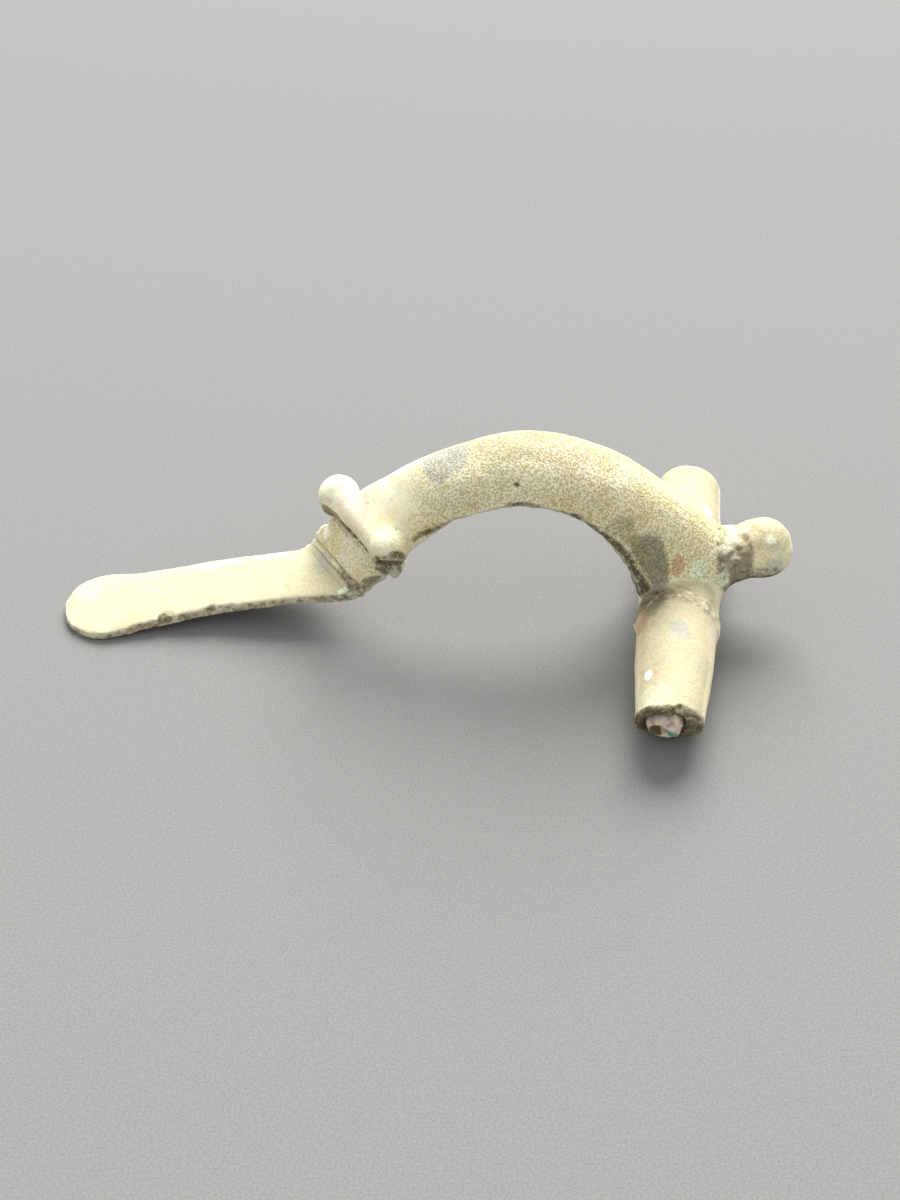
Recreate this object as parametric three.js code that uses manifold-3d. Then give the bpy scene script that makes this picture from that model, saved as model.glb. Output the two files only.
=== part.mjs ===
// A small cast bronze bow brooch of the hinged-arm kind, as found: the pin is lost, the near end of
// the crossbar is broken off and shows the stub of the hinge axis, and the crosspiece sits askew.
// Millimetres, +Z up. The brooch lies on its crossbar and the tip of its foot: the foot points to -X,
// the head to +X and the whole end of the crossbar to +Y.
import * as THREE from "three";
import { mergeVertices } from "three/addons/utils/BufferGeometryUtils.js";
import Module from "manifold-3d";

const wasm = await Module();
wasm.setup();

// ---- driving dimensions ---------------------------------------------------------------------------
const TIP_X = -30.5; // end of the foot
const FOOT_FLAT = 3.2; // length of the worn flat that the foot's tip lies on
const NECK = { x: -8.9, z: 2.9 }; // underside of the foot where the neck starts to climb
const SKEW = THREE.MathUtils.degToRad(31); // how far neck and crosspiece are turned in plan
const SKEW_FULL = { from: -8.9, to: -5.0 }; // stretch of the body that has the whole skew
const SKEW_FADE = { foot: 4.6, bow: 7.0 }; // length over which it dies away on either side
const TIP_ROUNDING = 4.2; // length of the rounded end of the foot

const FOOT_THICK = 0.95;
const BEVEL = { width: 1.5, drop: 0.45 }; // long bevel on the far edge of the foot

const CROSS = { x: -6.5, y: -1.2, z: 8.6 }; // middle of the crosspiece
const NEAR_KNOB = { reach: 3.65, r: 1.58, squash: 0.92 }; // its end knobs: how far out, how big
const FAR_KNOB = { reach: 4.2, r: 1.69, squash: 0.96 };
const SADDLE_R = 1.14; // its waist
const SPUR = { x: 0.2, along: -4.1, drop: 1.7, r: 0.95, length: 2.1 }; // casting spur under a knob
const GROOVES = [
  { x: -7.15, z: 7.25, width: 0.5, depth: 0.3, tilt: 62 }, // between crosspiece and neck
  { x: -8.55, z: 4.55, width: 0.34, depth: 0.2, tilt: 35 }, // double line at the top of the foot
  { x: -8.95, z: 4.12, width: 0.3, depth: 0.14, tilt: 20 },
];

const BAR = { x: 18.1, y: -1.5, z: 2.78 }; // middle of the crossbar, under the head
const BAR_YAW = THREE.MathUtils.degToRad(8.2); // the crossbar isn't quite square to the bow
const BAR_NEAR = 17.3; // from the middle to the furthest splinter of the broken end
const BAR_FAR = 13.3; // from the middle to the whole end
const BAR_R = { middle: 3.02, near: 2.46, far: 2.68 };
// The break slants, so that its upper lip overhangs. It is notched at the top and set back beside that.
const BREAK = { middle: 16.0, lean: 0.43, notch: 0.35, setBack: 0.55, under: 0.45, ragged: 0.13 };
const BORE = { r: 1.66, end: 9.3, x: -0.4, z: -0.4 }; // for the hinge axis, a little off centre
const ROD = { r: 1.38, flat: 0.93, length: 6.2, reach: 15.8 }; // stub of the axis
const PIN_SLOT = { width: 1.9, depth: 2.3, length: 4.6 }; // where the lost pin turned, underneath

const HEAD_KNOB = { x: 24.1, y: -1.75, z: 6.75, r: 2.36, neckR: 2.1, tilt: 15 };

// Stations along the body, from the foot's tip to the crossbar. x and z run along the middle of the
// underside, y is the middle's sideways place, t the thickness, w the width and side how much of the
// thickness is upright edge: 1 is a flat bar, and a small value is a full round back.
const STATIONS = [
  { x: TIP_X, z: 0, y: -1.25, t: 0.7, w: 7.4, side: 0.7 },
  { x: TIP_X + FOOT_FLAT, z: 0, y: -1.2, t: FOOT_THICK, w: 7.6, side: 0.7 },
  { x: -23.4, z: 0.45, y: -0.7, t: FOOT_THICK, w: 6.9, side: 0.72 },
  { x: -18.5, z: 1.2, y: -0.1, t: FOOT_THICK, w: 6.45, side: 0.75 },
  { x: -13.0, z: 2.1, y: -0.1, t: FOOT_THICK, w: 6.35, side: 0.75 },
  { x: NECK.x, z: NECK.z, y: -0.4, t: 1.1, w: 6.1, side: 0.75 },
  { x: -7.6, z: 4.5, y: -0.7, t: 1.4, w: 6.1, side: 0.7 },
  { x: -6.0, z: 6.3, y: -1.0, t: 1.95, w: 6.0, side: 0.55 },
  { x: -4.7, z: 8.1, y: -1.25, t: 2.45, w: 5.9, side: 0.42 },
  { x: -2.5, z: 9.9, y: -1.4, t: 2.55, w: 6.0, side: 0.34 },
  { x: 0.8, z: 11.75, y: -1.5, t: 3.35, w: 6.3, side: 0.3 },
  { x: 5.4, z: 12.85, y: -1.5, t: 3.75, w: 6.6, side: 0.28 },
  { x: 9.4, z: 11.75, y: -1.5, t: 4.05, w: 6.9, side: 0.28 },
  { x: 12.3, z: 8.8, y: -1.5, t: 5.3, w: 7.2, side: 0.28 },
  { x: 14.0, z: 5.6, y: -1.55, t: 7.2, w: 7.4, side: 0.28 },
  { x: 14.7, z: 2.6, y: -1.6, t: 6.7, w: 7.4, side: 0.3 },
];
const LOFT = { steps: 118, top: 16, bottom: 6 }; // facets along the body and round its section
const PATINA = new THREE.Color(0.66, 0.62, 0.44); // pale olive bronze
const CORROSION = new THREE.Color(0.66, 0.55, 0.47); // pinkish buff

// ---- solids -------------------------------------------------------------------------------------
function solid(geometry, matrix = new THREE.Matrix4()) {
  const bare = (geometry.index ? geometry.toNonIndexed() : geometry.clone()).applyMatrix4(matrix);
  bare.deleteAttribute("normal");
  bare.deleteAttribute("uv");
  const merged = mergeVertices(bare, 1e-4);
  const mesh = new wasm.Mesh({
    numProp: 3,
    vertProperties: new Float32Array(merged.attributes.position.array),
    triVerts: new Uint32Array(merged.index.array),
  });
  return new wasm.Manifold(mesh);
}

function geometryOf(manifold) {
  const { vertProperties, triVerts, numProp, numVert } = manifold.getMesh();
  const points = new Float32Array(numVert * 3);
  for (let i = 0; i < numVert; i++) {
    points.set(vertProperties.subarray(i * numProp, i * numProp + 3), i * 3);
  }
  const geometry = new THREE.BufferGeometry();
  geometry.setAttribute("position", new THREE.BufferAttribute(points, 3));
  geometry.setIndex(new THREE.BufferAttribute(triVerts, 1));
  geometry.computeVertexNormals();
  return geometry;
}

// A matrix that puts a shape's own Y axis along a direction, at a place.
function along(direction, place, spin = 0) {
  const turn = new THREE.Quaternion().setFromUnitVectors(
    new THREE.Vector3(0, 1, 0),
    direction.clone().normalize(),
  );
  const roll = new THREE.Quaternion().setFromAxisAngle(new THREE.Vector3(0, 1, 0), spin);
  return new THREE.Matrix4().compose(place, turn.multiply(roll), new THREE.Vector3(1, 1, 1));
}

const smooth = (a, b, x) => THREE.MathUtils.smoothstep(x, a, b);
const crossDirection = new THREE.Vector3(-Math.sin(SKEW), Math.cos(SKEW), 0);
const barDirection = new THREE.Vector3(Math.sin(BAR_YAW), Math.cos(BAR_YAW), 0);

// ---- the body's loft -------------------------------------------------------------------------------
const spine = new THREE.CatmullRomCurve3(
  STATIONS.map((s) => new THREE.Vector3(s.x, s.y, s.z)),
  false,
  "centripetal",
);

// The value of one station property at the spine's own parameter, eased between stations.
function property(name, u) {
  const place = u * (STATIONS.length - 1);
  const i = Math.min(Math.floor(place), STATIONS.length - 2);
  const blend = place - i;
  const eased = name === "t" || name === "w" ? blend : smooth(0, 1, blend);
  return THREE.MathUtils.lerp(STATIONS[i][name], STATIONS[i + 1][name], eased);
}

// Plan width at the foot's rounded end: a blunt superellipse, then the station's own width.
function widthAt(u, x) {
  const full = property("w", u);
  const inset = 1 - Math.min((x - TIP_X) / TIP_ROUNDING, 1);
  return full * Math.pow(Math.max(1 - Math.pow(inset, 2.4), 0.002), 1 / 2.1);
}

// One point of the section: v across, h up from the underside. i counts round from the near corner.
function sectionPoint(i, w, t, side, bevelled) {
  const upright = t * side;
  if (i < LOFT.bottom) {
    const f = (i / LOFT.bottom) * 2 - 1;
    return { v: (f * w) / 2, h: 0.04 * t * Math.pow(Math.abs(f), 8) };
  }
  const angle = (Math.PI * (i - LOFT.bottom)) / LOFT.top;
  const power = 2 / (2.1 + 2.4 * smooth(0.45, 0.75, side));
  const v = (w / 2) * Math.sign(Math.cos(angle)) * Math.pow(Math.abs(Math.cos(angle)), power);
  let h = upright + (t - upright) * Math.pow(Math.abs(Math.sin(angle)), power);
  const over = Math.max(0, (v - (w / 2 - BEVEL.width)) / BEVEL.width);
  h -= bevelled * BEVEL.drop * over;
  return { v, h };
}

// How much of the plan skew a place along the body takes.
function skewShare(x) {
  const rise = smooth(SKEW_FULL.from - SKEW_FADE.foot, SKEW_FULL.from, x);
  const fall = 1 - smooth(SKEW_FULL.to, SKEW_FULL.to + SKEW_FADE.bow, x);
  return rise * fall;
}

function bodyLoft() {
  const around = LOFT.bottom + LOFT.top + 1;
  const geometry = new THREE.CylinderGeometry(1, 1, 1, around, LOFT.steps);
  const position = geometry.attributes.position;
  const point = new THREE.Vector3();
  for (let k = 0; k < position.count; k++) {
    point.fromBufferAttribute(position, k);
    const u = point.y + 0.5;
    const at = spine.getPoint(u);
    const tangent = spine.getTangent(u);
    const normal = new THREE.Vector3(-tangent.z, 0, tangent.x).normalize();
    const w = widthAt(u, at.x);
    const t = property("t", u);
    const bevelled = smooth(TIP_X + 1, TIP_X + 6, at.x) * (1 - smooth(-11, -9.2, at.x));
    const radial = Math.hypot(point.x, point.z);
    const turn = (Math.atan2(point.x, point.z) / (2 * Math.PI) + 1) % 1;
    const index = Math.round(turn * around) % around;
    const { v, h } =
      radial < 0.5 ? { v: 0, h: t / 2 } : sectionPoint(index, w, t, property("side", u), bevelled);
    const placed = at.addScaledVector(normal, h);
    placed.y += v;
    placed.x -= v * Math.tan(SKEW) * skewShare(placed.x);
    position.setXYZ(k, placed.x, placed.y, placed.z);
  }
  return solid(geometry);
}

// ---- what is joined to it ----------------------------------------------------------------------------
function lathe(profile, segments, matrix) {
  const points = profile.map(([r, y]) => new THREE.Vector2(r, y));
  return solid(new THREE.LatheGeometry(points, segments), matrix);
}

// A profile point on a ball's meridian, as [radius, height].
const ball = (r, y, degrees, squash = 1) => {
  const a = THREE.MathUtils.degToRad(degrees);
  return [r * Math.cos(a), y + r * squash * Math.sin(a)];
};

// One side knob with its stalk, from the tip in to the waist.
function knobProfile({ reach, r, squash }) {
  const half = [[0, reach + r * squash]];
  for (let a = 70; a >= -35; a -= 17.5) half.push(ball(r, reach, a, squash));
  half.push([SADDLE_R + 0.04, reach * 0.5]);
  return half;
}

function crosspiece() {
  const nearHalf = knobProfile(NEAR_KNOB).map(([x, y]) => [x, -y]);
  const farHalf = knobProfile(FAR_KNOB).reverse();
  const place = new THREE.Vector3(CROSS.x, CROSS.y, CROSS.z);
  return lathe([...nearHalf, [SADDLE_R, 0], ...farHalf], 18, along(crossDirection, place));
}

function castingSpur() {
  const place = new THREE.Vector3(CROSS.x + SPUR.x, CROSS.y, CROSS.z - SPUR.drop);
  place.addScaledVector(crossDirection, SPUR.along);
  const shape = new THREE.ConeGeometry(SPUR.r, SPUR.length, 8).rotateX(Math.PI);
  return solid(shape, new THREE.Matrix4().setPosition(place));
}

function crossbar() {
  const collar = 5.4;
  const profile = [
    [0, -BAR_NEAR],
    [BAR_R.near, -BAR_NEAR],
    [BAR_R.near, -BREAK.middle],
    [BAR_R.near + 0.24, -12.7],
    [BAR_R.middle - 0.08, -10],
    [BAR_R.middle, -collar - 1.3],
    [BAR_R.middle + 0.12, -collar],
    [BAR_R.middle + 0.12, collar * 0.8],
    [BAR_R.far + 0.05, BAR_FAR * 0.72],
    [BAR_R.far, BAR_FAR - 1.3],
    [BAR_R.far * 0.93, BAR_FAR - 0.6],
    [BAR_R.far * 0.68, BAR_FAR - 0.12],
    [0, BAR_FAR],
  ];
  return lathe(profile, 28, along(barDirection, new THREE.Vector3(BAR.x, BAR.y, BAR.z)));
}

function headKnob() {
  const { x, y, z, r, neckR, tilt } = HEAD_KNOB;
  const a = THREE.MathUtils.degToRad(tilt);
  const direction = new THREE.Vector3(Math.cos(a), -0.02, Math.sin(a));
  const profile = [
    [0, -6.6],
    [neckR + 1.75, -6.6],
    [neckR + 1.15, -4.9],
    [neckR + 0.68, -3.9],
    [neckR + 0.28, -2.9],
    [neckR + 0.05, -2.1],
    [neckR, -1.5],
  ];
  for (let b = -20; b <= 70; b += 15) profile.push(ball(r, 0, b, 0.98));
  profile.push([0, r * 0.94]);
  return lathe(profile, 24, along(direction, new THREE.Vector3(x, y, z)));
}

// ---- what is cut from it --------------------------------------------------------------------------
function groove({ x, z, width, depth, tilt }) {
  const bar = new THREE.BoxGeometry(width, 14, width);
  const face = THREE.MathUtils.degToRad(tilt);
  const lift = width * Math.SQRT1_2 - depth;
  const place = new THREE.Vector3(x - lift * Math.sin(face), CROSS.y, z + lift * Math.cos(face));
  return solid(bar, along(crossDirection, place, Math.PI / 4));
}

// A worn or broken bite: a coarse ball, stretched and turned.
function bite(place, size, turn) {
  const rotation = new THREE.Quaternion().setFromEuler(new THREE.Euler(...turn));
  const matrix = new THREE.Matrix4().compose(
    new THREE.Vector3(...place),
    rotation,
    new THREE.Vector3(...size),
  );
  return solid(new THREE.IcosahedronGeometry(1, 1), matrix);
}

function alongBar(distance, dx = 0, dz = 0) {
  return new THREE.Vector3(BAR.x + dx, BAR.y, BAR.z + dz).addScaledVector(barDirection, distance);
}

function bore() {
  const depth = BAR_NEAR - BORE.end;
  const shape = new THREE.CylinderGeometry(BORE.r, BORE.r * 0.96, depth * 2, 20);
  return solid(shape, along(barDirection, alongBar(-BAR_NEAR, BORE.x, BORE.z)));
}

// How far out the broken end reaches, at v across the crossbar and h above its axis.
function breakReach(v, h) {
  const notch = BREAK.notch * smooth(0.0, 0.25, v) * (1 - smooth(0.5, 1.1, v)) * smooth(0.8, 1.8, h);
  const setBack = BREAK.setBack * smooth(0.0, 0.5, v) * smooth(-1.5, 0.5, h);
  const under = BREAK.under * (1 - smooth(-2.0, -0.9, h));
  const waves = Math.sin(3.1 * v + 1.3 * h) * Math.sin(3.9 * h - 1.1 * v + 0.8);
  const upper = Math.max(h, -1.2) + 0.4 * Math.min(h + 1.2, 0);
  return BREAK.middle + BREAK.lean * upper - notch - setBack - under + BREAK.ragged * waves;
}

// Everything beyond the break: a block whose inner face is the fracture.
function beyondBreak() {
  const size = 7;
  const cells = 14;
  const block = new THREE.BoxGeometry(size, 4, size, cells, 1, cells);
  const position = block.attributes.position;
  for (let i = 0; i < position.count; i++) {
    const inner = position.getY(i) > 0;
    const reach = inner ? breakReach(position.getX(i), position.getZ(i)) : BAR_NEAR + 3;
    position.setY(i, -reach);
  }
  return solid(block, along(barDirection, new THREE.Vector3(BAR.x, BAR.y, BAR.z)));
}

function pinSlot() {
  const { width, depth, length } = PIN_SLOT;
  const box = new THREE.BoxGeometry(length, width, depth);
  const place = new THREE.Vector3(BAR.x - BAR_R.middle, BAR.y, depth / 2 - 0.4);
  return solid(box, new THREE.Matrix4().setPosition(place));
}

function edgeChips() {
  return [
    bite([-9.95, 1.75, 6.25], [0.7, 0.6, 0.6], [0.2, 0.5, 0.1]), // far side of the neck
    bite([-22.3, -4.5, 1.55], [0.85, 0.55, 0.8], [0, 0.3, -0.35]), // near edge of the foot
    bite([-18.7, -3.85, 2.3], [0.6, 0.5, 0.7], [0, 0, 0.1]),
    bite([-14.2, -3.45, 3.2], [1.0, 0.3, 0.7], [0, 0, 0.1]),
  ];
}

// Everything below the surface the brooch lies on is worn away flat.
function underGround() {
  return solid(new THREE.BoxGeometry(90, 60, 10), new THREE.Matrix4().setPosition(0, 0, -5));
}

// ---- the two pieces -------------------------------------------------------------------------------
function broochBody() {
  const joined = [crosspiece(), castingSpur(), crossbar(), headKnob()].reduce(
    (whole, next) => whole.add(next),
    bodyLoft(),
  );
  const cuts = [
    ...GROOVES.map(groove),
    bore(),
    beyondBreak(),
    pinSlot(),
    ...edgeChips(),
    underGround(),
  ];
  return cuts.reduce((whole, cut) => whole.subtract(cut), joined);
}

function hingeAxisStub() {
  const { r, flat, length, reach } = ROD;
  const profile = [
    [0, -length / 2],
    [r * 0.75, -length / 2 + 0.03],
    [r * 0.95, -length / 2 + 0.2],
    [r, -length / 2 + 0.6],
    [r, length / 2],
    [0, length / 2],
  ];
  const points = profile.map(([x, y]) => new THREE.Vector2(x, y));
  const shape = new THREE.LatheGeometry(points, 18).scale(1, 1, flat);
  const middle = alongBar(-reach + length / 2, BORE.x, BORE.z);
  const pit = bite(
    alongBar(-reach, BORE.x - 0.25, BORE.z - 0.35).toArray(),
    [0.8, 0.5, 0.42],
    [0.2, 0.3, 0.2],
  );
  return solid(shape, along(barDirection, middle)).subtract(pit);
}

function piece(name, manifold, colour, roughness, metalness) {
  const material = new THREE.MeshStandardMaterial({ color: colour, roughness, metalness });
  const mesh = new THREE.Mesh(geometryOf(manifold), material);
  mesh.name = name;
  return mesh;
}

const brooch = new THREE.Group();
brooch.add(
  piece("brooch_body", broochBody(), PATINA, 0.75, 0.25),
  piece("hinge_axis_stub", hingeAxisStub(), CORROSION, 0.9, 0.05),
);

// The origin is the middle of the brooch, on the surface that it lies on.
const bounds = new THREE.Box3().setFromObject(brooch);
const middle = bounds.getCenter(new THREE.Vector3());
brooch.position.set(-middle.x, -middle.y, -bounds.min.z);

export default brooch;
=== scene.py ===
"""Looks for a small cast bronze bow brooch, found without its pin.

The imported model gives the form. Each of its two pieces is remeshed here, carries the finer relief
in its mesh, and has a procedural patina. Lengths in the working code are millimetres, measured from
a point near the middle of the brooch on the surface that it lies on; the finished pieces are in
metres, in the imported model's own frame.
"""

import math

import bpy
import numpy as np
from mathutils import Matrix, Vector


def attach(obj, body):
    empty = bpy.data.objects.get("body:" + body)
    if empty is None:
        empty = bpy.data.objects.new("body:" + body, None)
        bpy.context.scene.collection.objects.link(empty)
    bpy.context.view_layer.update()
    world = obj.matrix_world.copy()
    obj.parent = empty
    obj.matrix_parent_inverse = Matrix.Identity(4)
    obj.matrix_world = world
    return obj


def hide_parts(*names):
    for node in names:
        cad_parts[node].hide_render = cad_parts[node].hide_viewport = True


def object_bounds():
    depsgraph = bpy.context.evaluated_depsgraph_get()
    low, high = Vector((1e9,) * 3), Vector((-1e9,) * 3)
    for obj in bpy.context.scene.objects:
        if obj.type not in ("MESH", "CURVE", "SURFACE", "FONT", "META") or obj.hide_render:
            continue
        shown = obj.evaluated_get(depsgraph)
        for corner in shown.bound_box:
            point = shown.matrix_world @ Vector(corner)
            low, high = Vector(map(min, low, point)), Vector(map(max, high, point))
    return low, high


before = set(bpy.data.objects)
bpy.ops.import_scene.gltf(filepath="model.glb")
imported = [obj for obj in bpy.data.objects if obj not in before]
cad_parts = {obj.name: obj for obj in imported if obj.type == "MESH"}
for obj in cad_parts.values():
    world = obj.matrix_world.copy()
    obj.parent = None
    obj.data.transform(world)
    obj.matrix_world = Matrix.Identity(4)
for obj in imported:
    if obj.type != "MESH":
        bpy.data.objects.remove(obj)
CAD_BOX = [list(corner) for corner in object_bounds()]
MM = 0.001
FAR_END = 14.63  # where the whole end of the crossbar lies in the working frame, along Y
ORIGIN = np.array(
    [
        (CAD_BOX[0][0] + CAD_BOX[1][0]) / 2,
        CAD_BOX[1][1] - FAR_END * MM,
        CAD_BOX[0][2],
    ]
)

# ---- places on the brooch, mm --------------------------------------------------------------------
BAR_MIDDLE = np.array([20.15, 1.32, 2.78])  # the crossbar, under the head
BAR_YAW = math.radians(8.2)
BAR_WAY = np.array([math.sin(BAR_YAW), math.cos(BAR_YAW), 0.0])
BREAK_MIDDLE = -16.0  # places along the crossbar, from its middle: the break at the axis's height
CROSS_MIDDLE = np.array([-4.45, 1.62, 8.6])  # the askew crosspiece
SKEW = math.radians(31)
CROSS_WAY = np.array([-math.sin(SKEW), math.cos(SKEW), 0.0])
NEAR_KNOB = CROSS_MIDDLE - 3.65 * CROSS_WAY
FAR_KNOB = CROSS_MIDDLE + 4.2 * CROSS_WAY
HEAD_KNOB = np.array([26.15, 1.07, 6.75])
ARCH = [  # x and z along the middle of the underside, from foot to crossbar
    (-6.85, 2.9), (-5.55, 4.5), (-3.95, 6.3), (-2.65, 8.1), (-0.45, 9.9), (2.85, 11.75),
    (7.45, 12.85), (11.45, 11.75), (14.35, 8.8), (16.05, 5.6), (16.75, 2.6),
]
# Fine cut lines across the neck: a place on each, how far its face is tilted, and its depth.
CUTS = {
    "top": {"at": (-5.10, 1.62, 7.25), "tilt": 62, "depth": 0.07},
    "low": {"at": (-6.50, 1.62, 4.55), "tilt": 35, "depth": 0.06},
    "foot": {"at": (-6.90, 1.62, 4.12), "tilt": 20, "depth": 0.04},
}

CREVICE = ((-3.5, -2.85, 8.7), (-2.6, -2.3, 7.2))  # between the near knob and the neck
STUB_RIDGE = ((16.6, -14.4, 2.55), (18.5, -14.4, 1.6))  # a scar across the axis's broken face
STUB_HOLLOW = (17.0, -14.3, 1.95)

BODY_VOXEL = 0.166
STUB_VOXEL = 0.1
SEED = 7

# ---- the surface: how high each zone stands, how rough it is, and how wide its lumps are ---------
# zone ("all" is everywhere), lift, roughness, lump size, seed, octaves
ROUGHNESS = [
    ("all", 0.0, 0.05, 3.4, 5, 3),
    ("all", 0.0, 0.02, 1.0, 6, 3),
    ("bow", 0.0, 0.025, 0.45, 8, 2),
    ("neck", 0.09, 0.05, 0.6, 9, 3),
    ("rim", 0.02, 0.13, 0.8, 10, 3),
    ("ring", 0.13, 0.22, 0.6, 12, 2),
    ("stalk", 0.0, 0.17, 0.7, 13, 3),
    ("knob", 0.0, 0.04, 0.9, 19, 3),
    ("foot_edge", 0.0, 0.14, 0.8, 14, 3),
    ("under", 0.0, 0.06, 1.3, 15, 3),
    ("break", 0.0, 0.16, 0.7, 16, 3),
    ("side", 0.0, 0.08, 0.8, 20, 3),
]
LIP_HEIGHT = 0.1
CREVICE_DEPTH = 0.14
PITS = [  # place, size, depth
    ((6.95, -1.77, 14.83), 0.28, 0.16),
    ((-20.17, -1.05, 1.42), 0.8, 0.16),
    ((-16.6, -0.48, 1.95), 0.45, 0.1),
    ((17.73, -13.58, 4.28), 0.22, 0.14),
]
CRUMBS = [  # place, size, height
    ((16.42, -11.3, 4.64), 0.42, 0.09),
    ((22.74, 7.73, 5.21), 0.5, 0.06),
    ((17.86, -2.44, 5.41), 0.24, 0.1),
    ((19.83, -12.77, 1.58), 0.5, 0.12),
]

# ---- stains: share, place, size, how ragged the edge is, seed, and stretch along each axis -------
SPOTS = {
    "grain": [
        (0.6, NEAR_KNOB, 2.4, 0.2, 50),
        (0.7, (-7.59, 4.17, 8.4), 1.2, 0.3, 51),
        (0.35, (-9.0, 1.2, 3.5), 2.6, 0.3, 52),
    ],
    "straw": [
        (0.5, (-1.0, 1.9, 12.4), 1.6, 0.3, 60),
        (0.6, (24.8, 1.0, 8.2), 1.8, 0.3, 61),
        (0.6, (21.5, 0.3, 9.5), 2.2, 0.4, 62),
    ],
    "olive": [
        (0.95, (16.6, -2.35, 7.4), 3.1, 0.3, 63, (0.75, 1.5, 1.25)),
        (0.5, (14.6, -2.2, 10.4), 2.2, 0.3, 64, (1, 1.5, 1)),
        (0.4, (21.85, -4.2, 4.71), 1.2, 0.3, 65),
    ],
    "slate": [
        (0.9, (1.4, 1.4, 14.9), 2.3, 0.4, 24, (1.3, 1, 0.8)),
        (0.7, (19.13, -7.33, 5.72), 1.3, 0.3, 66, (0.7, 1.1, 1)),
        (0.6, (-7.79, 2.78, 3.74), 1.3, 0.4, 67),
        (0.5, (26.47, -0.5, 8.3), 0.9, 0.3, 68),
        (0.5, (18.0, -2.4, 5.9), 1.1, 0.3, 69, (1.4, 1, 0.7)),
        (0.6, (26.6, -1.2, 6.7), 1.0, 0.3, 70),
    ],
    "pink": [
        (0.95, (-5.4, 1.9, 9.5), 2.1, 0.3, 21, (0.9, 1.5, 0.9)),
        (0.45, (-3.4, -0.9, 9.2), 1.7, 0.3, 71),
        (0.5, (10.87, 0.24, 16.1), 2.4, 0.4, 72),
        (0.6, (21.7, -7.5, 3.6), 2.6, 0.3, 73, (0.5, 2.2, 1)),
        (0.6, (-16.8, 4.86, 2.0), 1.6, 0.3, 74, (2.2, 0.6, 1)),
        (0.5, (-26.8, 2.9, 0.8), 1.8, 0.4, 75),
        (0.6, (24.2, 0.4, 8.6), 1.5, 0.3, 76),
    ],
    "rust": [
        (0.95, (19.24, -2.2, 7.55), 0.95, 0.35, 22, (0.8, 1, 1.3)),
        (0.8, (-5.21, -0.56, 4.35), 0.6, 0.3, 77),
        (0.7, (16.94, -11.5, 5.05), 0.4, 0.3, 78),
        (0.75, (16.9, -4.4, 3.6), 1.4, 0.4, 79, (0.8, 1.6, 1.2)),
        (0.6, (25.2, 0.8, 8.95), 0.7, 0.4, 80),
        (0.5, (-22.5, -1.5, 0.9), 1.6, 0.5, 81),
    ],
    "mint": [
        (0.95, (20.92, -1.8, 6.93), 1.0, 0.3, 23, (0.9, 1, 1.1)),
        (0.4, (16.9, -13.6, 4.3), 2.0, 0.45, 82, (0.9, 0.85, 1)),
        (0.8, (-5.8, -0.7, 3.6), 0.9, 0.3, 83, (1.5, 1, 0.6)),
        (0.6, (26.4, -0.3, 8.6), 0.55, 0.3, 84),
        (0.7, (22.9, -1.2, 5.6), 0.9, 0.3, 85),
        (0.4, (-7.3, 4.5, 10.2), 1.2, 0.4, 86),
    ],
    "chalk": [
        (1.0, (16.42, -11.3, 4.64), 0.55, 0.3, 87),
        (1.0, (17.86, -2.44, 5.41), 0.32, 0.2, 25),
        (0.9, (22.74, 7.73, 5.21), 0.7, 0.3, 88),
        (0.6, (-7.62, 4.12, 5.78), 0.7, 0.3, 89),
        (0.6, (-11.98, 5.33, 2.5), 1.1, 0.3, 90, (1.8, 0.6, 1)),
    ],
    "crust_and_shade": [
        (0.9, (-2.1, -2.9, 8.5), 1.5, 0.3, 91, (1, 1, 0.75)),
        (0.7, (-2.1, -2.3, 6.8), 1.3, 0.3, 98),
        (0.7, (-7.7, 4.0, 7.6), 0.9, 0.3, 92),
        (0.55, (26.3, -0.9, 5.6), 1.8, 0.3, 93),
        (0.7, (-20.17, -1.05, 1.42), 0.8, 0.4, 94),
        (0.6, (-16.6, -0.48, 1.95), 0.5, 0.4, 95),
        (1.0, (17.73, -13.58, 4.28), 0.22, 0.3, 96),
        (1.0, (6.95, -1.77, 14.83), 0.25, 0.3, 97),
    ],
}

# ---- light and camera ----------------------------------------------------------------------------
FLOOR_REACH = 1.5  # m, from the middle to each side
LIGHT_DISTANCE = 1.3  # m
WINDOW = {"behind": 46, "beside": 6, "size": 1.08, "energy": 40.0}
SKY_STRENGTH = 0.84
CAMERA_ELEVATION = 40
CAMERA_DISTANCE = 0.152  # m
CAMERA_LENS = 57
AIM = (2.046, 2.825, 0)  # mm, in the working frame


# ---- small numerical tools -----------------------------------------------------------------------
def ramp(value, start, end):
    """0 at start and 1 at end, eased. start may be the larger."""
    t = np.clip((value - start) / (end - start), 0, 1)
    return t * t * (3 - 2 * t)


def noise(p, size, seed):
    """Smooth noise from -1 to 1 at each point, with lumps of about that size."""
    table = np.random.default_rng(SEED + seed).uniform(-1, 1, (32, 32, 32))
    q = p / size + 11.3 * seed
    cell = np.floor(q).astype(int)
    f = q - cell
    f = f * f * f * (f * (f * 6 - 15) + 10)
    total = np.zeros(len(p))
    for corner in range(8):
        step = np.array([corner & 1, corner >> 1 & 1, corner >> 2 & 1])
        weight = np.prod(np.where(step, f, 1 - f), axis=1)
        i, j, k = ((cell + step) % 32).T
        total += weight * table[i, j, k]
    return total


def rough(p, size, seed, octaves=3):
    """Noise with finer noise on it."""
    total = np.zeros(len(p))
    for o in range(octaves):
        total += noise(p, size / 2**o, seed + 17 * o) / 2**o
    return total / 1.6


def distance(p, place):
    return np.linalg.norm(p - np.asarray(place), axis=1)


def along_bar(p):
    """Place along the crossbar and distance from its axis."""
    q = p - BAR_MIDDLE
    s = q @ BAR_WAY
    return s, np.linalg.norm(q - s[:, None] * BAR_WAY, axis=1)


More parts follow.
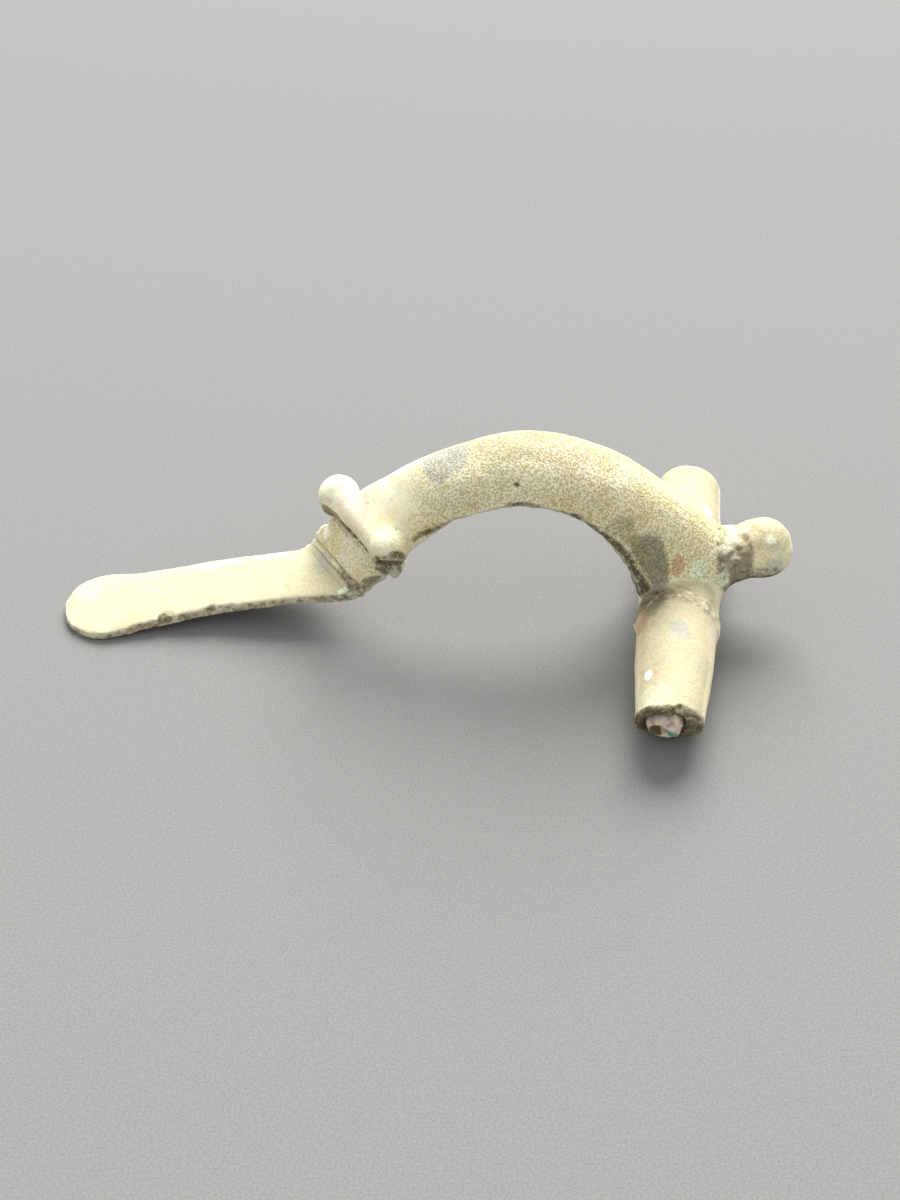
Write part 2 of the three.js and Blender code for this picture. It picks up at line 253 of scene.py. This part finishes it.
def above_arch(p):
    """Distance from the underside's curve, seen from the side."""
    fine = np.linspace(0, len(ARCH) - 1, 240)
    x = np.interp(fine, range(len(ARCH)), [a[0] for a in ARCH])
    z = np.interp(fine, range(len(ARCH)), [a[1] for a in ARCH])
    gap = np.full(len(p), 99.0)
    for cx, cz in zip(x, z):
        gap = np.minimum(gap, np.hypot(p[:, 0] - cx, p[:, 2] - cz))
    return gap


def cut_plane(cut):
    """The plane that a cut line lies in, as a unit vector pointing up the neck."""
    a = math.radians(cut["tilt"])
    across = np.cross(CROSS_WAY, (-math.sin(a), 0.0, math.cos(a)))
    return across / np.linalg.norm(across)


def above_cut(p, name):
    """Height above a cut line's plane, on the side of the bow."""
    cut = CUTS[name]
    return (p - np.array(cut["at"])) @ cut_plane(cut)


def beside(p, start, end):
    """Distance from a straight stretch, and the place along it from 0 to 1."""
    a, b = np.array(start), np.array(end)
    t = np.clip((p - a) @ (b - a) / np.dot(b - a, b - a), 0, 1)
    return np.linalg.norm(p - a - t[:, None] * (b - a), axis=1), t


# ---- working meshes ------------------------------------------------------------------------------
class Form:
    """A node's form as an even mesh in millimetres that numpy can work on."""

    def __init__(self, node, name, voxel):
        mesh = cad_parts[node].data.copy()
        mesh.transform(Matrix.Scale(1 / MM, 4) @ Matrix.Translation(-Vector(ORIGIN)))
        coarse = bpy.data.objects.new(name, mesh)
        bpy.context.scene.collection.objects.link(coarse)
        even = coarse.modifiers.new("Even", "REMESH")
        even.mode = "VOXEL"
        even.voxel_size = voxel
        even.use_smooth_shade = True
        bpy.context.view_layer.update()
        graph = bpy.context.evaluated_depsgraph_get()
        self.mesh = bpy.data.meshes.new_from_object(coarse.evaluated_get(graph))
        bpy.data.objects.remove(coarse)
        self.name = name
        count = len(self.mesh.vertices)
        self.p = np.empty(count * 3, np.float32)
        self.mesh.vertices.foreach_get("co", self.p)
        self.p = self.p.reshape(-1, 3).astype(float)
        self.edges = np.empty(len(self.mesh.edges) * 2, np.int32)
        self.mesh.edges.foreach_get("vertices", self.edges)
        self.edges = self.edges.reshape(-1, 2)
        self.degree = np.bincount(self.edges.ravel(), minlength=count)

    def mean(self, values):
        """The mean of a value over each point's neighbours."""
        values = values.reshape(len(self.p), -1)
        a, b = self.edges.T
        total = [
            np.bincount(a, column[b], len(self.p)) + np.bincount(b, column[a], len(self.p))
            for column in values.T
        ]
        return (np.stack(total, axis=1) / self.degree[:, None]).squeeze()

    def normals(self):
        self.mesh.vertices.foreach_set("co", self.p.astype(np.float32).ravel())
        self.mesh.update()
        n = np.empty(len(self.p) * 3, np.float32)
        self.mesh.vertices.foreach_get("normal", n)
        return n.reshape(-1, 3).astype(float)

    def polish(self, rounds):
        """Takes off facets without shrinking the form."""
        for _ in range(rounds):
            for share in (0.5, -0.53):
                self.p += share * (self.mean(self.p) - self.p)

    def fillet(self, where, rounds):
        """Fills inward corners as in a casting, and leaves outward ones."""
        for _ in range(rounds):
            n = self.normals()
            pull = self.mean(self.p) - self.p
            out = np.clip(np.sum(pull * n, axis=1), 0, None) * where
            self.p += 0.9 * out[:, None] * n

    def flatten(self, where, place, facing):
        """Cuts what stands out of a plane back to it."""
        n = np.array(facing) / np.linalg.norm(facing)
        out = np.clip((self.p - np.array(place)) @ n, 0, None) * where
        self.p -= out[:, None] * n

    def push(self, amount):
        """Moves each point along its normal."""
        self.p += amount[:, None] * self.normals()

    def hollow(self, spread):
        """How hollow the surface is at each point: below 0 on edges and above 0 in corners."""
        blurred = self.p
        for _ in range(spread):
            blurred = self.mean(blurred)
        return np.sum((blurred - self.p) * self.normals(), axis=1)

    def mark(self, name, values):
        """Keeps a value per point for the material."""
        layer = self.mesh.attributes.new(name, "FLOAT", "POINT")
        layer.data.foreach_set("value", values.astype(np.float32))

    def piece(self):
        """The finished piece, in metres."""
        self.normals()
        self.mesh.transform(Matrix.Translation(Vector(ORIGIN)) @ Matrix.Scale(MM, 4))
        obj = bpy.data.objects.new(self.name, self.mesh)
        bpy.context.scene.collection.objects.link(obj)
        return obj


# ---- relief --------------------------------------------------------------------------------------
def spot(p, place, size, ragged=0.25, seed=1, stretch=(1, 1, 1)):
    """1 inside a ragged patch round a place, 0 outside it."""
    q = (p - np.asarray(place)) / (np.asarray(stretch) * size)
    edge = np.linalg.norm(q, axis=1) + ragged * rough(p, size * 0.7, seed)
    return ramp(edge, 1.0, 0.55)


def body_zones(form):
    """The parts of the body that are finished in different ways, each from 0 to 1."""
    p, n = form.p, form.normals()
    s, radius = along_bar(p)
    x, y = p[:, 0], p[:, 1]
    wobble = rough(p, 2.2, 3)
    arch = above_arch(p)
    top, low = above_cut(p, "top"), above_cut(p, "low")
    knob = distance(p, HEAD_KNOB)
    zones = {}
    zones["bar"] = ramp(radius, 3.75, 3.35)
    zones["bow"] = ramp(x, -2.4, 0.8) * ramp(x + 0.6 * wobble, 24.0, 22.6) * (1 - zones["bar"])
    zones["foot"] = ramp(low, 0.1, -0.1)
    zones["neck"] = ramp(low, 0.0, 0.15) * ramp(top, 0.05, -0.1)
    zones["side"] = ramp(x, -2.0, -2.6) * ramp(-n[:, 1], 0.35, 0.75) * (1 - zones["foot"])
    width = 0.3 + 0.1 * wobble + 0.4 * ramp(x, 3.0, 6.5) + 0.5 * ramp(x, 12.5, 16.0)
    zones["rim"] = ramp(arch - width, 0.2, -0.15) * ramp(x, -2.2, 0.5) * (1 - zones["bar"])
    zones["lip"] = np.exp(-(((arch - width) / 0.22) ** 2)) * ramp(x, 2.0, 5.0) * (1 - zones["bar"])
    zones["under"] = ramp(n[:, 2], -0.15, -0.6)
    ring = s + 4.9 + 0.25 * wobble + 0.35 * ramp(x, 18.5, 21.5)
    zones["ring"] = ramp(np.abs(ring), 0.85, 0.35) * ramp(radius, 3.95, 3.6) * ramp(x, 24.0, 21.0)
    zones["break"] = ramp(s - BREAK_MIDDLE + 0.43 * (p[:, 2] - 2.78), 0.9, 0.3)
    zones["stalk"] = ramp(np.abs(x - 23.7), 1.9, 1.0) * ramp(knob, 5.0, 4.2)
    zones["knob"] = ramp(knob, 2.9, 2.6)
    side = ramp(np.abs(n[:, 2]), 0.8, 0.45)
    zones["foot_edge"] = zones["foot"] * side * ramp(y, 2.5, 0.5)
    return zones


def join_parts(form):
    """Runs the crosspiece and the head knob into the bow as in one casting."""
    p = form.p
    s, _ = along_bar(p)
    away, _ = beside(p, CROSS_MIDDLE - 3.1 * CROSS_WAY, CROSS_MIDDLE + 2.7 * CROSS_WAY)
    saddle = ramp(away, 3.9, 3.0)
    root = ramp(distance(p, (22.9, -0.8, 5.5)), 3.4, 2.3)
    closed = ramp(s, -12.5, -11.5)
    everywhere = 0.25 * closed
    form.fillet(np.maximum.reduce([saddle, root, everywhere]), 150)
    spur = ramp(distance(form.p, (-2.3, -2.4, 7.6)), 1.6, 0.9)
    form.fillet(spur, 40)
    form.polish(3)


def shape_body(form):
    """Turns the even mesh of the body into the weathered casting. Returns its zones."""
    form.polish(14)
    join_parts(form)
    facet = ramp(distance(form.p, (-2.1, -2.9, 8.6)), 1.9, 1.5)
    form.flatten(facet, (-2.15, -2.95, 8.75), (0.05, -0.75, -0.62))
    crest = ramp(distance(form.p, (8.2, 1.6, 16.4)), 4.2, 3.0)
    form.flatten(crest, (8.2, 1.7, 16.42), (0.02, 0.12, 1.0))
    zones = body_zones(form)
    p = form.p

    # The cast surface: slow waves everywhere, finer ones where it is coarse.
    lift = LIP_HEIGHT * zones["lip"]
    for zone, height, rise, size, seed, octaves in ROUGHNESS:
        where = 1.0 if zone == "all" else zones[zone]
        lift += where * (height + rise * rough(p, size, seed, octaves))

    for name, cut in CUTS.items():
        off = above_cut(p, name) + 0.04 * rough(p, 1.5, 18)
        near = ramp(distance(p, cut["at"]), 4.6, 4.0) * (1 - zones["side"])
        lift -= near * cut["depth"] * np.exp(-((off / 0.14) ** 2))
    crevice, _ = beside(p, *CREVICE)
    lift -= CREVICE_DEPTH * ramp(crevice, 0.3, 0.08)
    for place, size, depth in PITS:
        lift -= depth * spot(p, place, size, 0.3, 40)
    for place, size, height in CRUMBS:
        lift += height * spot(p, place, size, 0.3, 41)
    lift *= ramp(p[:, 2], 0.02, 0.25)  # the worn flats that it lies on stay flat
    form.push(lift)
    return zones


# ---- materials -----------------------------------------------------------------------------------
class Nodes:
    """A short way to write a material's node tree."""

    def __init__(self, name):
        self.material = bpy.data.materials.new(name)
        self.material.use_nodes = True
        self.tree = self.material.node_tree
        self.shader = self.tree.nodes["Principled BSDF"]
        self.place = self.new("ShaderNodeTexCoord").outputs["Object"]

    def new(self, kind, **settings):
        node = self.tree.nodes.new(kind)
        for key, value in settings.items():
            setattr(node, key, value)
        return node

    def link(self, source, target):
        if hasattr(source, "is_output"):
            self.tree.links.new(source, target)
        else:
            target.default_value = source

    def math(self, operation, a, b=0.0, clamp=False):
        node = self.new("ShaderNodeMath", operation=operation, use_clamp=clamp)
        self.link(a, node.inputs[0])
        self.link(b, node.inputs[1])
        return node.outputs[0]

    def noise(self, size, detail=3.0, roughness=0.6, warp=0.0, offset=(0, 0, 0)):
        """Noise with lumps of that size in mm, as 0 to 1."""
        shift = self.new("ShaderNodeVectorMath", operation="ADD")
        self.link(self.place, shift.inputs[0])
        shift.inputs[1].default_value = [v * MM for v in offset]
        node = self.new("ShaderNodeTexNoise")
        self.link(shift.outputs[0], node.inputs["Vector"])
        node.inputs["Scale"].default_value = 1 / (size * MM)
        node.inputs["Detail"].default_value = detail
        node.inputs["Roughness"].default_value = roughness
        node.inputs["Distortion"].default_value = warp
        return node.outputs["Fac"]

    def step(self, value, low, high, to_low=0.0, to_high=1.0):
        """to_low up to low, to_high from high, eased between."""
        node = self.new("ShaderNodeMapRange", interpolation_type="SMOOTHSTEP")
        self.link(value, node.inputs["Value"])
        node.inputs["From Min"].default_value = low
        node.inputs["From Max"].default_value = high
        node.inputs["To Min"].default_value = to_low
        node.inputs["To Max"].default_value = to_high
        return node.outputs["Result"]

    def mark(self, name):
        node = self.new("ShaderNodeAttribute", attribute_name=name)
        return node.outputs["Fac"]

    def mix(self, share, a, b, blend="MIX"):
        node = self.new("ShaderNodeMix", data_type="RGBA", blend_type=blend)
        node.clamp_factor = True
        self.link(share, node.inputs["Factor"])
        self.link(a, node.inputs[6])
        self.link(b, node.inputs[7])
        return node.outputs[2]

    def blotch(self, mark, size, share=0.5, offset=(0, 0, 0)):
        """A marked patch with an edge broken up by noise."""
        broken = self.math("MULTIPLY_ADD", self.noise(size, offset=offset), share)
        broken.node.inputs[2].default_value = -share / 2
        return self.step(self.math("ADD", self.mark(mark), broken), 0.2, 0.8)

    def line(self, cut, offset, half):
        """1 on a fine line beside a cut line, 0 off it."""
        from_cut = self.new("ShaderNodeVectorMath", operation="ADD")
        self.link(self.place, from_cut.inputs[0])
        from_cut.inputs[1].default_value = [-(ORIGIN[i] + cut["at"][i] * MM) for i in range(3)]
        off = self.new("ShaderNodeVectorMath", operation="DOT_PRODUCT")
        self.link(from_cut.outputs[0], off.inputs[0])
        off.inputs[1].default_value = cut_plane(cut) / MM
        bent = self.math("MULTIPLY_ADD", self.noise(1.1, 2.0), 0.3)
        bent.node.inputs[2].default_value = -0.15 - offset
        gap = self.math("ABSOLUTE", self.math("ADD", off.outputs["Value"], bent))
        return self.step(gap, half * 0.4, half, 1.0, 0.0)

    def bump(self, height, depth, below=None):
        node = self.new("ShaderNodeBump")
        node.inputs["Strength"].default_value = 1.0
        node.inputs["Distance"].default_value = depth * MM
        self.link(height, node.inputs["Height"])
        if below is not None:
            self.link(below, node.inputs["Normal"])
        return node.outputs["Normal"]


def rgb(red, green, blue):
    """A colour given as it looks, 0 to 255, for a linear socket."""
    parts = [v / 255 for v in (red, green, blue)]
    return (*[v / 12.92 if v <= 0.04045 else ((v + 0.055) / 1.055) ** 2.4 for v in parts], 1.0)


CREAM = rgb(240, 235, 205)
STRAW = rgb(232, 222, 180)
SAGE = rgb(222, 224, 196)
OLIVE = rgb(108, 104, 80)
# dark crust, also used as painted shade on undersides and faces turned from the light
CRUST_AND_SHADE = rgb(88, 82, 58)
# brown stain, also used as painted shade on faces turning down or away from the light
UMBER_AND_SHADE = rgb(112, 98, 78)
PINK = rgb(228, 210, 190)
# painted shade that dulls faces turning up
PAINTED_TOP_SHADE = rgb(190, 183, 150)
RUST = rgb(208, 168, 132)
MINT = rgb(232, 244, 218)
SLATE = rgb(168, 173, 172)
CHALK = rgb(246, 245, 238)
TEAL = rgb(60, 150, 120)
# mark, tone, most cover, size of the patch's ragged edge in mm
STAINS = [
    # painted shade: dulls faces turning up, so lit tops do not read as white
    ("painted_top_shade", PAINTED_TOP_SHADE, 0.85, 2.0),
    ("straw", STRAW, 0.6, 0.9),
    ("olive", OLIVE, 0.7, 0.6),
    ("slate", SLATE, 0.6, 0.35),
    ("pink", PINK, 0.65, 0.7),
    # a brown stain, and painted shade on faces turning down or away from the light
    ("umber_and_shade", UMBER_AND_SHADE, 0.75, 0.3),
    ("rust", RUST, 0.7, 0.25),
    ("mint", MINT, 0.92, 0.25),
    ("lip", STRAW, 0.7, 0.3),
]


def patina():
    """Pale, stained bronze patina with sandy grain, dark crust, fine cut lines and worn edges, and
    painted shade in hollows, on tops and on faces turned from the light.
    """
    t = Nodes("bronze_patina")
    colour = t.mix(t.step(t.noise(4.5), 0.42, 0.6), CREAM, STRAW)
    colour = t.mix(t.step(t.noise(2.6, offset=(40, 0, 0)), 0.5, 0.7), colour, SAGE)
    for i, (name, tone, share, size) in enumerate(STAINS):
        cover = t.blotch(name, size, 0.7, offset=(9 * i + 5, 0, 0))
        colour = t.mix(t.math("MULTIPLY", cover, share), colour, tone)

    # Sandy grain: dark between pale specks, strongest on the bow.
    grain = t.noise(0.17, 1.5, 0.6)
    dark = t.math("MULTIPLY", t.step(grain, 0.58, 0.42), t.mark("grain"))
    colour = t.mix(dark, colour, rgb(208, 203, 182), "MULTIPLY")
    fine = t.math("MULTIPLY", t.step(t.noise(0.9, 4.0, offset=(0, 70, 0)), 0.6, 0.72), 0.5)
    colour = t.mix(fine, colour, rgb(206, 204, 194), "MULTIPLY")

    # Dark crust with pale crumbs; the same tone is painted shade on undersides, the near foot edge,
    # the break face and the crevice.
    crumbs = t.step(t.noise(0.28, 2.0, offset=(0, 0, 60)), 0.55, 0.66)
    crust_and_shade = t.mix(t.math("MULTIPLY", crumbs, 0.7), CRUST_AND_SHADE, rgb(196, 190, 150))
    colour = t.mix(t.math("MULTIPLY", t.blotch("crust_and_shade", 0.45, 0.9), 0.92), colour, crust_and_shade)

    top, low, foot = CUTS["top"], CUTS["low"], CUTS["foot"]
    lines = [(top, 0.0, 0.08, 0.8), (top, 0.42, 0.05, 0.25), (top, 0.75, 0.05, 0.2)]
    lines += [(top, -0.3, 0.06, 0.3), (low, 0.0, 0.07, 0.8), (foot, 0.0, 0.05, 0.45)]
    lines += [(foot, -0.5, 0.06, 0.25)]
    cuts = None
    for cut, offset, half, share in lines:
        drawn = t.math("MULTIPLY", t.line(cut, offset, half), share)
        cuts = drawn if cuts is None else t.math("MAXIMUM", cuts, drawn)
    cuts = t.math("MULTIPLY", cuts, t.mark("cut"))
    colour = t.mix(cuts, colour, rgb(112, 104, 84))

    # Painted shade: hollows and corners are darkened by the hollow mark.
    painted_hollow_shade = t.step(t.mark("hollow"), 0.012, 0.07)
    colour = t.mix(t.math("MULTIPLY", painted_hollow_shade, 0.75), colour, rgb(120, 108, 84), "MULTIPLY")
    rub = t.step(t.mark("hollow"), -0.02, -0.08)
    colour = t.mix(t.math("MULTIPLY", rub, 0.45), colour, rgb(238, 234, 208))
    chalk = t.blotch("chalk", 0.25, 0.4, offset=(77, 0, 0))
    colour = t.mix(chalk, colour, CHALK)
    t.link(colour, t.shader.inputs["Base Color"])

    sheen = t.step(t.noise(1.2, offset=(0, 30, 0)), 0.3, 0.7, 0.66, 0.84)
    t.link(sheen, t.shader.inputs["Roughness"])
    t.shader.inputs["Specular IOR Level"].default_value = 0.16
    height = t.math("MULTIPLY", grain, t.mark("grain"))
    height = t.math("SUBTRACT", height, t.math("MULTIPLY", cuts, 0.8))
    normal = t.bump(height, 0.07)
    normal = t.bump(t.noise(0.35, 3.0, offset=(0, 0, 20)), 0.03, normal)
    t.link(normal, t.shader.inputs["Normal"])
    return t.material


def corroded():
    """The pinkish, crumbly metal of the broken hinge axis."""
    t = Nodes("corroded_axis")
    base = t.mix(t.step(t.noise(0.7), 0.4, 0.6), PINK, rgb(176, 160, 148))
    base = t.mix(t.blotch("pale", 0.3, 0.5), base, rgb(206, 206, 178))
    base = t.mix(t.blotch("dark", 0.3, 0.5, (3, 0, 0)), base, rgb(92, 82, 56))
    streak = t.math("MULTIPLY", t.blotch("teal", 0.2, 0.4, (6, 0, 0)), 0.85)
    base = t.mix(streak, base, TEAL)
    t.link(base, t.shader.inputs["Base Color"])
    t.shader.inputs["Roughness"].default_value = 0.75
    t.link(t.bump(t.noise(0.25), 0.06), t.shader.inputs["Normal"])
    return t.material


# ---- the pieces ----------------------------------------------------------------------------------
def zone_marks(form, z):
    """The stains, crust and painted shade that cover whole zones, each mark as a list of values
    from 0 to 1.
    """
    n = form.normals()
    facing_up = ramp(n[:, 2], 0.2, 0.7)
    crevice, _ = beside(form.p, *CREVICE)
    return {
        "grain": [
            np.full(len(form.p), 0.12), z["bow"], 0.3 * z["bar"], 0.8 * z["neck"], 0.9 * z["rim"],
            0.55 * z["stalk"], 0.5 * z["knob"], 0.7 * z["ring"], 0.6 * z["foot_edge"],
        ],
        # Painted shade: what faces up is dulled to a warmer, darker cream, so that lit tops do not
        # read as white.
        "painted_top_shade": [
            z["foot"] * facing_up, z["bar"] * facing_up, z["knob"] * 0.7 * facing_up,
            0.8 * z["bow"] * ramp(n[:, 2], 0.75, 0.98),
        ],
        "lip": [0.8 * z["lip"]],
        "straw": [0.5 * z["bar"] * ramp(n[:, 0], -0.2, -0.8)],
        "olive": [],
        "slate": [],
        "pink": [0.35 * z["ring"]],
        # Brown on the ring; on the lower near side, the stalk below its top and the break face it
        # is painted shade.
        "umber_and_shade": [
            0.95 * z["side"] * ramp(n[:, 2], 0.2, -0.2), 0.9 * z["break"],
            0.95 * z["stalk"] * ramp(n[:, 2], 1.0, 0.3),
            0.65 * z["ring"] * ramp(form.p[:, 0], 22.0, 17.5),
        ],
        "rust": [],
        "mint": [],
        "chalk": [],
        # Crust on the rim; on undersides, the foot edge facing the near side, the break face and
        # the crevice it is painted shade.
        "crust_and_shade": [
            0.8 * z["rim"], 0.6 * z["foot_edge"] * ramp(n[:, 1], 0.0, -0.4), 0.75 * z["under"],
            0.7 * z["break"], 0.7 * ramp(crevice, 0.35, 0.1),
        ],
    }


def stain(form, zones):
    """Keeps where each stain, crust and painted shade lies, as marks for the material."""
    p = form.p
    for name, parts in zone_marks(form, zones).items():
        parts += [share * spot(p, *where) for share, *where in SPOTS.get(name, [])]
        form.mark(name, np.clip(np.maximum.reduce(parts), 0, 1))
    facing_up = ramp(form.normals()[:, 2], 0.0, 0.3)
    near_neck = ramp(distance(p, (-5.6, 1.6, 6.2)), 5.4, 4.4)
    form.mark("cut", near_neck * (1 - zones["side"]) * facing_up)
    form.mark("hollow", form.hollow(5) * (1 - 0.8 * zones["break"]))


def dressed(form, material, node):
    """The finished piece with its material, riding on the root in the place of a CAD node."""
    piece = form.piece()
    piece.data.materials.clear()
    piece.data.materials.append(material)
    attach(piece, "root")
    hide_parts(node)
    return piece


def make_body():
    form = Form("brooch_body", "brooch_bronze", BODY_VOXEL)
    stain(form, shape_body(form))
    dressed(form, patina(), "brooch_body")


def make_stub():
    form = Form("hinge_axis_stub", "hinge_axis_corroded", STUB_VOXEL)
    form.polish(8)
    s, _ = along_bar(form.p)
    face = ramp(s, -15.0, -15.5)
    form.push(0.1 * rough(form.p, 0.8, 31) * (0.4 + 0.6 * face))
    p = form.p
    ridge, along = beside(p, *STUB_RIDGE)
    form.push(0.2 * np.exp(-((ridge / 0.28) ** 2)) * face)
    form.mark("pale", 0.8 * ramp(p[:, 2], 2.0, 1.5) * face)
    form.mark("dark", ramp(distance(p, STUB_HOLLOW), 0.75, 0.4))
    form.mark("teal", ramp(ridge, 0.3, 0.12) * ramp(along, 0.1, 0.5) * face)
    dressed(form, corroded(), "hinge_axis_stub")


# ---- the scene -----------------------------------------------------------------------------------
def make_floor():
    mesh = bpy.data.meshes.new("floor")
    corners = [(-1, -1), (1, -1), (1, 1), (-1, 1)]
    places = [(x * FLOOR_REACH, y * FLOOR_REACH, ORIGIN[2]) for x, y in corners]
    mesh.from_pydata(places, [], [(0, 1, 2, 3)])
    floor = bpy.data.objects.new("floor", mesh)
    bpy.context.scene.collection.objects.link(floor)
    t = Nodes("floor_board")
    tone = t.mix(t.step(t.noise(0.16, 2.0), 0.3, 0.7), rgb(120, 120, 119), rgb(134, 133, 131))
    t.link(tone, t.shader.inputs["Base Color"])
    t.shader.inputs["Roughness"].default_value = 0.9
    t.shader.inputs["Specular IOR Level"].default_value = 0.2
    mesh.materials.append(t.material)


def soft_light(name, behind, beside, size, energy):
    """A round soft light, tilted from straight overhead by those angles in degrees."""
    data = bpy.data.lights.new(name, "AREA")
    data.shape = "DISK"
    data.size = size
    data.energy = energy
    light = bpy.data.objects.new(name, data)
    bpy.context.scene.collection.objects.link(light)
    back, side = math.radians(behind), math.radians(beside)
    way = Vector((math.sin(side), math.sin(back) * math.cos(side), math.cos(back) * math.cos(side)))
    light.location = Vector(ORIGIN) + way * LIGHT_DISTANCE
    light.rotation_euler = (-way).to_track_quat("-Z", "Y").to_euler()


def make_lights():
    soft_light("window", **WINDOW)
    world = bpy.data.worlds.new("studio")
    world.use_nodes = True
    background = world.node_tree.nodes["Background"]
    background.inputs["Color"].default_value = (1, 1, 1, 1)
    background.inputs["Strength"].default_value = SKY_STRENGTH
    bpy.context.scene.world = world


def make_camera():
    elevation = math.radians(CAMERA_ELEVATION)
    back = Vector((0, -math.cos(elevation), math.sin(elevation)))
    aim = Vector(ORIGIN) + Vector(AIM) * MM
    data = bpy.data.cameras.new("camera")
    data.lens = CAMERA_LENS
    data.clip_start = 0.01
    camera = bpy.data.objects.new("camera", data)
    bpy.context.scene.collection.objects.link(camera)
    camera.location = aim + back * CAMERA_DISTANCE
    camera.rotation_euler = (-back).to_track_quat("-Z", "Y").to_euler()
    bpy.context.scene.camera = camera


make_body()
make_stub()
make_floor()
make_lights()
make_camera()
bpy.context.scene.view_settings.view_transform = "Standard"
